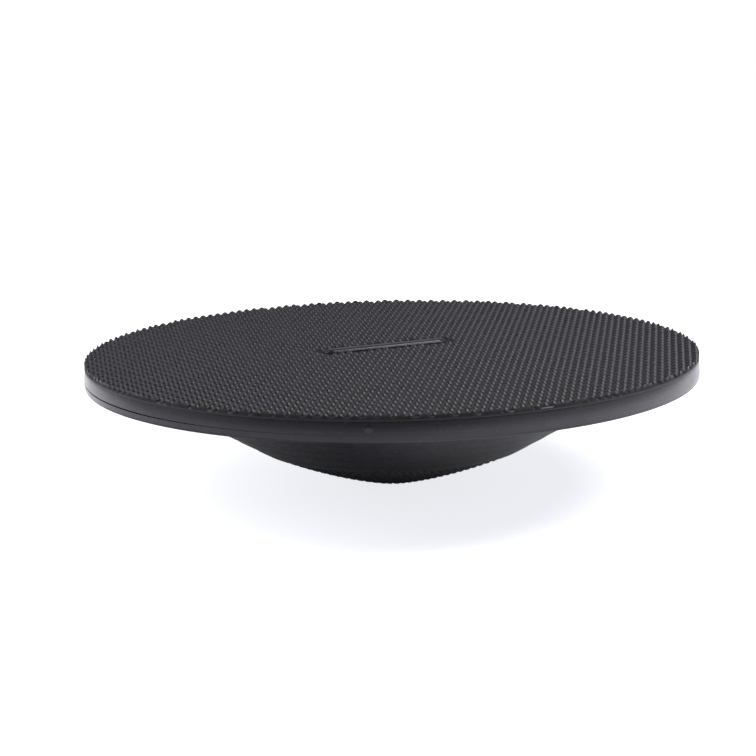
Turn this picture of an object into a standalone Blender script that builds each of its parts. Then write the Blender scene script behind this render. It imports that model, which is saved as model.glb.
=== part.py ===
"""Wobble board: a round deck with a nubbed standing mat, on a ribbed cone with a grip pad.

Metres, +Z up. The origin is on the floor, under the middle of the pad's flat foot.
"""

import math

import bmesh
import bpy
from mathutils import Matrix, Vector

# Overall size, over the nubs
BOARD_RADIUS = 0.200
BOARD_HEIGHT = 0.0882

# Standing mat: a moulded sheet whose nubs are all of one height, cut to a circle
NUB_HEIGHT = 0.0022
MAT_SHEET = 0.0020

# The nubs' slanted rows: each row stands as one bar, and the gap to the next row is open
ROW_PITCH = 0.00658
ROW_ANGLE = math.radians(39.4)
ROW_TOP_WIDTH = 0.0034
ROW_FOOT_WIDTH = 0.0050

# Smooth plaque in the mat, in a strip that the nubs leave free
PLAQUE_LENGTH = 0.094
PLAQUE_WIDTH = 0.0125
PLAQUE_HEIGHT = 0.0014
PLAQUE_STRIP = 0.0026
PLAQUE_X = -0.003
PLAQUE_Y = 0.0145
PLAQUE_ANGLE = math.radians(24)

# Fit between pieces that touch, and the visible line between deck and shell
SEAT_GAP = 0.0003
SEAM_GAP = 0.0004
SEAM_CHAMFER = 0.0003

# Deck: flat plate with a short skirt
MAT_OVERHANG = 0.0010
DECK_PLATE = 0.0032
DECK_EDGE_RADIUS = 0.0008
SKIRT_WALL = 0.0030
RIM_DRAFT = 0.0004
RIM_DEPTH = 0.0147
SEAM_DEPTH = 0.0103
GUSSETS_PER_SCREW = 2
GUSSET_WALL = 0.0020
GUSSET_STEP = 0.0005
STOP_RING_CLEARANCE = 0.0015

# Lower shell: rim, flange and stepped cone
RIM_EDGE_RADIUS = 0.0018
FLANGE_WALL = 0.0030
SPIGOT_WALL = 0.0028
SPIGOT_HEIGHT = 0.0034
FLANGE_WIDTH = 0.0359
CONE_WALL = 0.0030
STEP_PITCH = 0.0125
STEP_HEIGHT = 0.0004
STEP_RUN = 0.0005
FIRST_STEP = 0.0065

# Ribs and ring walls inside the shell
RIBS_PER_HUB_SCREW = 3
RIB_WALL = 0.0022
RIB_DROP = 0.0006
HUB_RADIUS = 0.0140
HUB_BORE = 0.0105

# Grip pad over the tip of the cone
PAD_RADIUS = 0.088
PAD_EDGE_HEIGHT = 0.0264
PAD_THICKNESS = 0.0046
PAD_CROWN = 0.0019
PAD_CHAMFER = 0.0006
FOOT_RADIUS = 0.012
TIP_WALL = 0.0035

# Self-tapping pan-head screws, driven from below
RIM_SCREW_COUNT = 12
HUB_SCREW_COUNT = 4
HUB_SCREW_CIRCLE = 0.034
HUB_BOSS_LENGTH = 0.0072
SHANK_RADIUS = 0.00175
HEAD_RADIUS = 0.0040
HEAD_HEIGHT = 0.0024
HEAD_FLAT_RADIUS = 0.0028
HEAD_SIDE_HEIGHT = 0.0014
SHANK_CLEARANCE = 0.0005
HEAD_CLEARANCE = 0.0007
PILOT_CLEARANCE = 0.0003
TIP_CLEARANCE = 0.0005
WELL_DEPTH = 0.0030
WELL_FLOOR = 0.0025
WELL_WALL = 0.0014
BOSS_WALL = 0.0024
PILOT_SKIN = 0.0011

# Fineness of round shapes
MAT_FACETS = 96
SHELL_FACETS = 48
BORE_FACETS = 10
CROWN_STEPS = 4
FACET_MIDDLE = math.cos(math.pi / SHELL_FACETS)
FILLET_STEPS = 3
SMOOTH_ANGLE = math.radians(32)
OVERSHOOT = 0.004

# Patterns that follow from the screws
RIB_COUNT = HUB_SCREW_COUNT * RIBS_PER_HUB_SCREW
GUSSET_COUNT = RIM_SCREW_COUNT * GUSSETS_PER_SCREW

# Heights that follow from the sizes above
SHEET_TOP = BOARD_HEIGHT - NUB_HEIGHT
MAT_UNDER = SHEET_TOP - MAT_SHEET
DECK_TOP = MAT_UNDER - SEAT_GAP
DECK_UNDER = DECK_TOP - DECK_PLATE
DECK_MIDDLE = DECK_TOP - DECK_PLATE / 2
SEAM = SHEET_TOP - SEAM_DEPTH
RIM_BOTTOM = SHEET_TOP - RIM_DEPTH
FLANGE_TOP = RIM_BOTTOM + FLANGE_WALL
WALL_TOP = DECK_UNDER - SEAT_GAP

# Radii that follow from the sizes above
DECK_RADIUS = BOARD_RADIUS - MAT_OVERHANG
RIM_RADIUS = DECK_RADIUS + RIM_DRAFT
SKIRT_INSIDE = DECK_RADIUS - SKIRT_WALL
SPIGOT_OUTSIDE = SKIRT_INSIDE - SEAT_GAP
SPIGOT_INSIDE = SPIGOT_OUTSIDE - SPIGOT_WALL
CONE_RADIUS = RIM_RADIUS - FLANGE_WIDTH
STOP_RING_INSIDE = CONE_RADIUS + STOP_RING_CLEARANCE
STOP_RING_OUTSIDE = STOP_RING_INSIDE + RIB_WALL
RIM_SCREW_CIRCLE = (STOP_RING_OUTSIDE + SPIGOT_INSIDE) / 2
SEAT_RADIUS = PAD_RADIUS + SEAT_GAP
PILOT_RADIUS = SHANK_RADIUS + PILOT_CLEARANCE
BOSS_RADIUS = PILOT_RADIUS + BOSS_WALL
WELL_RADIUS = HEAD_RADIUS + HEAD_CLEARANCE
TOWER_RADIUS = WELL_RADIUS + WELL_WALL
PILOT_TOP = DECK_TOP - PILOT_SKIN

# The screws' seats: the floor of each well, and the boss of the deck above it
RIM_WELL_TOP = RIM_BOTTOM + WELL_DEPTH
RIM_BOSS_BOTTOM = RIM_WELL_TOP + WELL_FLOOR + SEAT_GAP
HUB_BOSS_BOTTOM = DECK_UNDER - HUB_BOSS_LENGTH
HUB_WELL_TOP = HUB_BOSS_BOTTOM - SEAT_GAP - WELL_FLOOR


def cone_height(radius):
    """Height of the cone's outer face, a straight line from the flange to the pad's edge."""
    share = (CONE_RADIUS - radius) / (CONE_RADIUS - PAD_RADIUS)
    return RIM_BOTTOM - share * (RIM_BOTTOM - PAD_EDGE_HEIGHT)


def pad_height(radius):
    """Height of the pad's face: flat at the foot, then an arc that bulges by PAD_CROWN."""
    if radius <= FOOT_RADIUS:
        return 0.0
    foot = Vector((FOOT_RADIUS, 0.0))
    edge = Vector((PAD_RADIUS, PAD_EDGE_HEIGHT))
    chord = edge - foot
    curve = (chord.length_squared / 4 + PAD_CROWN**2) / (2 * PAD_CROWN)
    inward = Vector((-chord.y, chord.x)).normalized()
    centre = (foot + edge) / 2 + inward * (curve - PAD_CROWN)
    return centre.y - math.sqrt(curve**2 - (radius - centre.x) ** 2)


def seat_height(radius):
    """Height of the shell's face that the pad is bonded to."""
    return pad_height(min(radius, PAD_RADIUS)) + PAD_THICKNESS + SEAT_GAP


def inner_height(radius):
    """Height of the shell's inner face, over the tip or over the cone."""
    if radius <= SEAT_RADIUS:
        return seat_height(radius) + TIP_WALL
    slope = (RIM_BOTTOM - PAD_EDGE_HEIGHT) / (CONE_RADIUS - PAD_RADIUS)
    return cone_height(radius) + CONE_WALL * math.hypot(1.0, slope)


def crown_radii():
    """Radii at which the arc of the pad is sampled, from the foot to the edge."""
    span = PAD_RADIUS - FOOT_RADIUS
    return [FOOT_RADIUS + span * step / CROWN_STEPS for step in range(CROWN_STEPS + 1)]


def corner_arc(centre, radius, start_degrees, end_degrees):
    """Points of a fillet in the plane of the profile."""
    points = []
    for step in range(FILLET_STEPS + 1):
        angle = math.radians(start_degrees + (end_degrees - start_degrees) * step / FILLET_STEPS)
        points.append((centre[0] + radius * math.cos(angle), centre[1] + radius * math.sin(angle)))
    return points


def turn(shape, profile, facets, centre=(0.0, 0.0)):
    """Adds the body that a profile of (radius, height) points sweeps round an upright axis."""
    start = math.pi / facets
    side = Vector((math.cos(start), math.sin(start), 0.0))
    origin = Vector((centre[0], centre[1], 0.0))
    points = [shape.verts.new(origin + side * r + Vector((0.0, 0.0, z))) for r, z in profile]
    pairs = list(zip(points, points[1:]))
    if profile[0][0] > 0.0:
        pairs.append((points[-1], points[0]))
    lines = [shape.edges.new(pair) for pair in pairs]
    bmesh.ops.spin(
        shape, geom=points + lines, cent=origin, axis=(0.0, 0.0, 1.0), angle=math.tau, steps=facets
    )


def add_plate(shape, outline, thickness, angle):
    """Adds an upright plate whose (radius, height) outline stands on the ray at this angle."""
    corners = [shape.verts.new((r, -thickness / 2, z)) for r, z in outline]
    face = shape.faces.new(corners)
    made = bmesh.ops.extrude_face_region(shape, geom=[face])["geom"]
    far = [item for item in made if isinstance(item, bmesh.types.BMVert)]
    bmesh.ops.translate(shape, verts=far, vec=(0.0, thickness, 0.0))
    bmesh.ops.rotate(shape, verts=corners + far, matrix=Matrix.Rotation(angle, 3, "Z"))


def add_prism(shape, outline, low, high):
    """Adds an upright prism over an outline of (x, y) points."""
    face = shape.faces.new([shape.verts.new((x, y, low)) for x, y in outline])
    made = bmesh.ops.extrude_face_region(shape, geom=[face])["geom"]
    far = [item for item in made if isinstance(item, bmesh.types.BMVert)]
    bmesh.ops.translate(shape, verts=far, vec=(0.0, 0.0, high - low))


def finished(name, shape, material=None):
    """Closes the seams, turns the faces outwards and links the object."""
    bmesh.ops.remove_doubles(shape, verts=shape.verts, dist=0.000001)
    bmesh.ops.recalc_face_normals(shape, faces=shape.faces)
    mesh = bpy.data.meshes.new(name)
    shape.to_mesh(mesh)
    shape.free()
    mesh.shade_smooth()
    mesh.set_sharp_from_angle(angle=SMOOTH_ANGLE)
    piece = bpy.data.objects.new(name, mesh)
    bpy.context.collection.objects.link(piece)
    if material:
        mesh.materials.append(material)
    return piece


def combine(piece, tool, operation):
    """Joins or cuts a piece with a helper, which stays hidden as a wire frame."""
    tool.hide_render = True
    tool.display_type = "WIRE"
    step = piece.modifiers.new(tool.name, "BOOLEAN")
    step.operation = operation
    step.solver = "EXACT"
    step.object = tool


def on_circle(count, circle, first_angle):
    """Places spaced evenly on a circle, as (x, y, angle)."""
    places = []
    for index in range(count):
        angle = first_angle + math.tau * index / count
        places.append((circle * math.cos(angle), circle * math.sin(angle), angle))
    return places


def rim_screw_places():
    """The rim screws start half a pitch from the X axis, clear of the gussets."""
    return on_circle(RIM_SCREW_COUNT, RIM_SCREW_CIRCLE, math.pi / RIM_SCREW_COUNT)


def hub_screw_places():
    """The hub screws start half a rib's pitch from the X axis, so each stands between two ribs."""
    return on_circle(HUB_SCREW_COUNT, HUB_SCREW_CIRCLE, math.pi / RIB_COUNT)


def plastic(name, colour, roughness, metallic=0.0):
    """A plain material for one kind of piece."""
    material = bpy.data.materials.new(name)
    material.use_nodes = True
    shader = material.node_tree.nodes["Principled BSDF"]
    shader.inputs["Base Color"].default_value = (*colour, 1.0)
    shader.inputs["Roughness"].default_value = roughness
    shader.inputs["Metallic"].default_value = metallic
    material.diffuse_color = (*colour, 1.0)
    return material


def capsule(length, width):
    """Outline of a long strip with round ends, turned and placed as the plaque is."""
    reach = (length - width) / 2
    points = []
    for side in (1, -1):
        for step in range(BORE_FACETS + 1):
            angle = math.pi * step / BORE_FACETS - math.pi / 2
            x = side * (reach + width / 2 * math.cos(angle))
            y = side * width / 2 * math.sin(angle)
            points.append((x, y))
    turned = Matrix.Rotation(PLAQUE_ANGLE, 2)
    return [tuple(turned @ Vector(point) + Vector((PLAQUE_X, PLAQUE_Y))) for point in points]


def row_gap(middle):
    """Section of the gap between two rows, from the sheet up past the nubs' tops."""
    over = NUB_HEIGHT / 2
    foot = (ROW_PITCH - ROW_FOOT_WIDTH) / 2
    taper = (ROW_FOOT_WIDTH - ROW_TOP_WIDTH) / 2 / NUB_HEIGHT
    mouth = foot + taper * (NUB_HEIGHT + over)
    high = BOARD_HEIGHT + over
    return [
        (middle - foot, SHEET_TOP),
        (middle + foot, SHEET_TOP),
        (middle + mouth, high),
        (middle - mouth, high),
    ]


def make_nub_mat():
    """Mat: sheet and rows of nubs in one moulding, with the strip and plaque that nubs leave free."""
    profile = [
        (0.0, BOARD_HEIGHT),
        (BOARD_RADIUS, BOARD_HEIGHT),
        (BOARD_RADIUS, MAT_UNDER),
        (0.0, MAT_UNDER),
    ]
    shape = bmesh.new()
    turn(shape, profile, MAT_FACETS)
    mat = finished("nub_mat", shape, plastic("black_soft_rubber", (0.040, 0.040, 0.044), 0.55))
    gaps = bmesh.new()
    gap_length = 2 * (BOARD_RADIUS + OVERSHOOT)
    row_count = int(BOARD_RADIUS / ROW_PITCH)
    for number in range(-row_count, row_count):
        add_plate(gaps, row_gap((number + 0.5) * ROW_PITCH), gap_length, ROW_ANGLE - math.pi / 2)
    combine(mat, finished("row_gaps", gaps), "DIFFERENCE")
    strip = bmesh.new()
    strip_outline = capsule(PLAQUE_LENGTH + 2 * PLAQUE_STRIP, PLAQUE_WIDTH + 2 * PLAQUE_STRIP)
    add_prism(strip, strip_outline, SHEET_TOP, BOARD_HEIGHT + OVERSHOOT)
    combine(mat, finished("plaque_strip", strip), "DIFFERENCE")
    plaque = bmesh.new()
    plaque_low = SHEET_TOP - MAT_SHEET / 2
    add_prism(plaque, capsule(PLAQUE_LENGTH, PLAQUE_WIDTH), plaque_low, SHEET_TOP + PLAQUE_HEIGHT)
    combine(mat, finished("plaque", plaque), "UNION")


def deck_profile():
    """Plate, rounded edge, drafted skirt and the stop ring that stands on the flange."""
    skirt_bottom = SEAM + SEAM_GAP / 2
    ring_bottom = FLANGE_TOP + SEAT_GAP
    edge_centre = (DECK_RADIUS - DECK_EDGE_RADIUS, DECK_TOP - DECK_EDGE_RADIUS)
    return [
        (0.0, DECK_TOP),
        *corner_arc(edge_centre, DECK_EDGE_RADIUS, 90, 0),
        (RIM_RADIUS, skirt_bottom + SEAM_CHAMFER),
        (RIM_RADIUS - SEAM_CHAMFER, skirt_bottom),
        (SKIRT_INSIDE, skirt_bottom),
        (SKIRT_INSIDE, DECK_UNDER),
        (STOP_RING_OUTSIDE, DECK_UNDER),
        (STOP_RING_OUTSIDE, ring_bottom),
        (STOP_RING_INSIDE, ring_bottom),
        (STOP_RING_INSIDE, DECK_UNDER),
        (0.0, DECK_UNDER),
    ]


def make_top_deck(material):
    """Deck: plate and skirt, stiffened by gussets, with bosses that the screws bite into."""
    shape = bmesh.new()
    turn(shape, deck_profile(), SHELL_FACETS)
    deck = finished("top_deck", shape, material)

    gusset_inside = STOP_RING_INSIDE + RIB_WALL / 2
    gusset_outside = SPIGOT_INSIDE * FACET_MIDDLE - SEAT_GAP
    gusset_bottom = RIM_BOSS_BOTTOM + GUSSET_STEP
    outline = [
        (gusset_inside, gusset_bottom),
        (gusset_outside, gusset_bottom),
        (gusset_outside, DECK_MIDDLE),
        (gusset_inside, DECK_MIDDLE),
    ]
    gussets = bmesh.new()
    for index in range(GUSSET_COUNT):
        add_plate(gussets, outline, GUSSET_WALL, math.tau * (index + 0.5) / GUSSET_COUNT)
    combine(deck, finished("deck_gussets", gussets), "UNION")

    seats = [(place, RIM_BOSS_BOTTOM) for place in rim_screw_places()]
    seats += [(place, HUB_BOSS_BOTTOM) for place in hub_screw_places()]
    bosses = bmesh.new()
    pilots = bmesh.new()
    for (x, y, _), bottom in seats:
        boss = [(0.0, DECK_MIDDLE), (BOSS_RADIUS, DECK_MIDDLE), (BOSS_RADIUS, bottom), (0.0, bottom)]
        turn(bosses, boss, BORE_FACETS, (x, y))
        low = bottom - OVERSHOOT
        pilot = [(0.0, PILOT_TOP), (PILOT_RADIUS, PILOT_TOP), (PILOT_RADIUS, low), (0.0, low)]
        turn(pilots, pilot, BORE_FACETS, (x, y))
    combine(deck, finished("deck_bosses", bosses), "UNION")
    combine(deck, finished("deck_pilots", pilots), "DIFFERENCE")


def ring_walls():
    """Inside and outside radius of each ring wall, from the cone's mouth in to the hub."""
    mouth = CONE_RADIUS - RIB_WALL
    halfway_out = (SEAT_RADIUS + CONE_RADIUS) / 2
    halfway_in = (HUB_RADIUS + SEAT_RADIUS) / 2
    return [
        (mouth, CONE_RADIUS),
        (halfway_out - RIB_WALL / 2, halfway_out + RIB_WALL / 2),
        (SEAT_RADIUS, SEAT_RADIUS + RIB_WALL),
        (halfway_in - RIB_WALL / 2, halfway_in + RIB_WALL / 2),
        (HUB_BORE, HUB_RADIUS),
    ]


def cone_face():
    """The cone's outer face from the pad's edge up to the flange, with its shallow ring steps."""
    points = [(SEAT_RADIUS, cone_height(SEAT_RADIUS))]
    radius = PAD_RADIUS + FIRST_STEP
    while radius + STEP_RUN < CONE_RADIUS:
        points.append((radius, cone_height(radius) - STEP_HEIGHT / 2))
        points.append((radius + STEP_RUN, cone_height(radius + STEP_RUN) + STEP_HEIGHT / 2))
        radius += STEP_PITCH
    points.append((CONE_RADIUS, RIM_BOTTOM))
    return points


def shell_profile():
    """Pad seat, stepped cone, flange, rim and spigot, then back in over the ring walls."""
    seat = [(0.0, seat_height(0.0))] + [(radius, seat_height(radius)) for radius in crown_radii()]
    seat.append((SEAT_RADIUS, seat_height(SEAT_RADIUS)))
    rim_top = SEAM - SEAM_GAP / 2
    edge_centre = (RIM_RADIUS - RIM_EDGE_RADIUS, RIM_BOTTOM + RIM_EDGE_RADIUS)
    rim = corner_arc(edge_centre, RIM_EDGE_RADIUS, -90, 0) + [
        (RIM_RADIUS, rim_top - SEAM_CHAMFER),
        (RIM_RADIUS - SEAM_CHAMFER, rim_top),
        (SPIGOT_OUTSIDE, rim_top),
        (SPIGOT_OUTSIDE, SEAM + SPIGOT_HEIGHT),
        (SPIGOT_INSIDE, SEAM + SPIGOT_HEIGHT),
        (SPIGOT_INSIDE, FLANGE_TOP),
    ]
    inside = []
    for wall_inside, wall_outside in ring_walls():
        foot = FLANGE_TOP if wall_outside == CONE_RADIUS else inner_height(wall_outside)
        inside += [(wall_outside, foot), (wall_outside, WALL_TOP)]
        inside += [(wall_inside, WALL_TOP), (wall_inside, inner_height(wall_inside))]
    inside.append((0.0, inner_height(0.0)))
    return seat + cone_face() + rim + inside


def rib_outline():
    """One radial rib: its lower edge runs inside the wall, its upper edge just under the deck."""
    hub = (HUB_BORE + HUB_RADIUS) / 2
    step = SEAT_RADIUS + RIB_WALL / 2
    mouth = CONE_RADIUS - RIB_WALL / 2
    top = WALL_TOP - RIB_DROP
    under = [(hub, inner_height(hub) - TIP_WALL / 2)]
    under += [(radius, inner_height(radius) - TIP_WALL / 2) for radius in crown_radii()[1:]]
    under.append((step, inner_height(SEAT_RADIUS) - TIP_WALL / 2))
    under += [(radius, inner_height(radius) - CONE_WALL / 2) for radius in (step, mouth)]
    return under + [(mouth, top), (hub, top)]


def make_lower_shell(material):
    """Shell: stepped cone and flange, with ribs, ring walls and wells for the screws."""
    shape = bmesh.new()
    turn(shape, shell_profile(), SHELL_FACETS)
    shell = finished("lower_shell", shape, material)

    ribs = bmesh.new()
    for index in range(RIB_COUNT):
        add_plate(ribs, rib_outline(), RIB_WALL, math.tau * index / RIB_COUNT)
    combine(shell, finished("shell_ribs", ribs), "UNION")

    towers = bmesh.new()
    wells = bmesh.new()
    flange_middle = RIM_BOTTOM + FLANGE_WALL / 2
    tip_middle = inner_height(HUB_SCREW_CIRCLE) - TIP_WALL / 2
    seats = [(place, flange_middle, RIM_BOTTOM, RIM_WELL_TOP) for place in rim_screw_places()]
    seats += [(place, tip_middle, 0.0, HUB_WELL_TOP) for place in hub_screw_places()]
    for (x, y, _), foot, mouth, floor in seats:
        top = floor + WELL_FLOOR
        tower = [(0.0, top), (TOWER_RADIUS, top), (TOWER_RADIUS, foot), (0.0, foot)]
        turn(towers, tower, BORE_FACETS, (x, y))
        hole = SHANK_RADIUS + SHANK_CLEARANCE
        low = mouth - OVERSHOOT
        high = top + OVERSHOOT
        well = [(0.0, high), (hole, high), (hole, floor)]
        well += [(WELL_RADIUS, floor), (WELL_RADIUS, low), (0.0, low)]
        turn(wells, well, BORE_FACETS, (x, y))
    combine(shell, finished("screw_towers", towers), "UNION")
    combine(shell, finished("screw_wells", wells), "DIFFERENCE")


def make_grip_pad():
    """Pad: a crowned skin of even thickness over the tip, with a small flat foot."""
    outer = [(radius, pad_height(radius)) for radius in crown_radii()[:-1]]
    outer.append((PAD_RADIUS - PAD_CHAMFER, pad_height(PAD_RADIUS - PAD_CHAMFER)))
    outer.append((PAD_RADIUS, PAD_EDGE_HEIGHT + PAD_CHAMFER))
    inner = [(radius, pad_height(radius) + PAD_THICKNESS) for radius in reversed(crown_radii())]
    shape = bmesh.new()
    turn(shape, [(0.0, 0.0)] + outer + inner + [(0.0, PAD_THICKNESS)], SHELL_FACETS)
    finished("grip_pad", shape, plastic("black_grip_rubber", (0.030, 0.030, 0.033), 0.70))


def screw_mesh(length, material):
    """A pan-head screw that points up, with its origin where the head meets the seat."""
    profile = [
        (0.0, -HEAD_HEIGHT),
        (HEAD_FLAT_RADIUS, -HEAD_HEIGHT),
        (HEAD_RADIUS, -HEAD_SIDE_HEIGHT),
        (HEAD_RADIUS, 0.0),
        (SHANK_RADIUS, 0.0),
        (SHANK_RADIUS, length - SHANK_RADIUS),
        (0.0, length),
    ]
    shape = bmesh.new()
    turn(shape, profile, BORE_FACETS)
    pattern = finished("screw_pattern", shape, material)
    mesh = pattern.data
    bpy.data.objects.remove(pattern)
    return mesh


def make_screws():
    """The screws of the rim and the hub, each head against the floor of its well."""
    steel = plastic("black_steel", (0.035, 0.035, 0.037), 0.40, 1.0)
    tip = PILOT_TOP - TIP_CLEARANCE
    groups = (
        ("rim_screw", rim_screw_places(), RIM_WELL_TOP - SEAT_GAP),
        ("hub_screw", hub_screw_places(), HUB_WELL_TOP - SEAT_GAP),
    )
    for name, places, seat in groups:
        mesh = screw_mesh(tip - seat, steel)
        mesh.name = name
        for number, (x, y, angle) in enumerate(places, start=1):
            screw = bpy.data.objects.new(f"{name}_{number:02d}", mesh)
            screw.location = (x, y, seat)
            screw.rotation_euler = (0.0, 0.0, angle)
            bpy.context.collection.objects.link(screw)


def main():
    for old in list(bpy.data.objects):
        bpy.data.objects.remove(old)
    hard_plastic = plastic("black_hard_plastic", (0.036, 0.035, 0.038), 0.38)
    make_nub_mat()
    make_top_deck(hard_plastic)
    make_lower_shell(hard_plastic)
    make_grip_pad()
    make_screws()
    board = bpy.data.objects.new("wobble_board", None)
    bpy.context.collection.objects.link(board)
    for piece in list(bpy.context.collection.objects):
        if piece is not board:
            piece.parent = board


main()
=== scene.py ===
import math

import bmesh
import bpy
import numpy as np
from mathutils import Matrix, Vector


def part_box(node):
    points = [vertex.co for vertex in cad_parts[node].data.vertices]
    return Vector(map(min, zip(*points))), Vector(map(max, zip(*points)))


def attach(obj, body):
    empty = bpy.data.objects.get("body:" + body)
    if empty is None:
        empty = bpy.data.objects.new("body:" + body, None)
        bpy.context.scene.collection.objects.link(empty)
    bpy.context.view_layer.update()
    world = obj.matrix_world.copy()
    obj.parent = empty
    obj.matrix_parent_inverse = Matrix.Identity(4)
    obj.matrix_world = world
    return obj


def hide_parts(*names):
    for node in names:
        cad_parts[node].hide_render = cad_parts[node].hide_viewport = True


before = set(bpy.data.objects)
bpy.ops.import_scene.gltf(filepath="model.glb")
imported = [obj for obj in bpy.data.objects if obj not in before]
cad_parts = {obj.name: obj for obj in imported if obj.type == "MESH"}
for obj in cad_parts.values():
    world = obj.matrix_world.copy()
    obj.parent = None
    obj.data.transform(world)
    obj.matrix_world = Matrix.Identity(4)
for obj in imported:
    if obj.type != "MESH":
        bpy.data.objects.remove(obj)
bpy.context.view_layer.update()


# Top deck. The upper half of the case in black hard plastic: a flat plate with a short drafted
# skirt, whose face is the upper part of the rim. It is injection moulded in one shot, and the gate
# has left a small round witness on the skirt. Sixteen screws pull it down onto the lower shell.
DECK_RADIUS = 0.1991
RIM_RADIUS = 0.1998
DECK_PLATE = 0.0032
DECK_EDGE = 0.0002
SKIRT_WALL = 0.0030
NUB_HEIGHT = 0.0022
SEAM_DEPTH = 0.0103
SEAM_GAP = 0.000006
SEAM_CHAMFER = 0.00002
SEAM_GAPE = 0.00075
GAPE_AZIMUTH = math.radians(212)
GAPE_POWER = 7
RIM_SEGMENTS = 480
MERGE_DISTANCE = 1e-6
SHARP_ANGLE = 35
ROUND_ANGLE = 60
GATE_RADIUS = 0.0024
GATE_RISE = 0.00022
GATE_SINK = 0.00012
GATE_OVER_SEAM = 0.0034
GATE_AZIMUTH = math.radians(-94)
GATE_SIDES = 24
GATE_RINGS = 9
GATE_OVERRUN = 1.08
PLASTIC_COLOUR = (0.0140, 0.0136, 0.0230)
PLASTIC_ROUGHNESS = 0.34
PLASTIC_IOR = 1.57
SCUFF_COLOUR = (0.070, 0.070, 0.076)
SCUFF_SHARE = 0.5
GLOSS_RANGE = (0.20, 0.29)
STREAK_STRETCH = (1.6, 900, 900)
STREAK_DULLING = 0.08
STREAK_RELIEF = 0.00011
GRAIN_SCALE = 1500.0
GRAIN_RELIEF = 0.00006
HAND_MARK_SCALE = 26.0
NICK_SCALE = 160.0
NICK_SPAN = (0.64, 0.72)


def arc(centre, radius, start, end, steps):
    """Points of a circle in the (radius, height) plane, from one angle in degrees to another."""
    angle = np.radians(np.linspace(start, end, steps))
    return np.stack([centre[0] + radius * np.cos(angle), centre[1] + radius * np.sin(angle)], 1)


def turned_grid(profile, segments):
    """Carries a closed profile of (r, z) points round the upright axis: the point at angle t lies at
    (r cos t, r sin t, z). Each face joins two neighbours of the profile at two neighbouring angles."""
    profile = np.asarray(profile, float)
    angle = np.arange(segments) * (2 * np.pi / segments)
    x = np.outer(profile[:, 0], np.cos(angle))
    y = np.outer(profile[:, 0], np.sin(angle))
    z = np.repeat(profile[:, 1:], segments, 1)
    points = np.stack([x, y, z], 2).reshape(-1, 3)
    row = np.arange(len(profile) * segments).reshape(len(profile), segments)
    below = np.roll(row, -1, 0)
    faces = np.stack([row, np.roll(row, -1, 1), np.roll(below, -1, 1), below], 2)
    return points, faces.reshape(-1, 4)


def grid_faces(row):
    """Faces between each ring of a grid of point numbers and the next ring, closed round each ring."""
    faces = np.stack([row[:-1], np.roll(row[:-1], -1, 1), np.roll(row[1:], -1, 1), row[1:]], 2)
    return faces.reshape(-1, 4)


def piece(name, points, faces, material, sharp_angle=SHARP_ANGLE, caps=()):
    """Links a mesh of quads and end caps: doubles merged, faces outwards, smooth up to an angle."""
    mesh = bpy.data.meshes.new(name)
    mesh.from_pydata(points.tolist(), [], faces.tolist() + [cap.tolist() for cap in caps])
    shape = bmesh.new()
    shape.from_mesh(mesh)
    bmesh.ops.remove_doubles(shape, verts=shape.verts, dist=MERGE_DISTANCE)
    bmesh.ops.dissolve_degenerate(shape, edges=shape.edges, dist=MERGE_DISTANCE / 10)
    bmesh.ops.recalc_face_normals(shape, faces=shape.faces)
    shape.to_mesh(mesh)
    shape.free()
    mesh.shade_smooth()
    mesh.set_sharp_from_angle(angle=math.radians(sharp_angle))
    mesh.materials.append(material)
    made = bpy.data.objects.new(name, mesh)
    bpy.context.scene.collection.objects.link(made)
    return made


def shader_of(name, colour, roughness):
    """A material with one Principled shader, and a function that adds a node with its inputs."""
    material = bpy.data.materials.new(name)
    material.use_nodes = True
    tree = material.node_tree
    shader = tree.nodes["Principled BSDF"]
    shader.inputs["Base Color"].default_value = (*colour, 1)
    shader.inputs["Roughness"].default_value = roughness

    def add(kind, links=(), **settings):
        made = tree.nodes.new(kind)
        for key, value in settings.items():
            if key in made.bl_rna.properties:
                setattr(made, key, value)
            else:
                made.inputs[key.replace("_", " ")].default_value = value
        for socket, source in dict(links).items():
            tree.links.new(source, made.inputs[socket])
        return made

    return material, tree, shader, add


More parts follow.
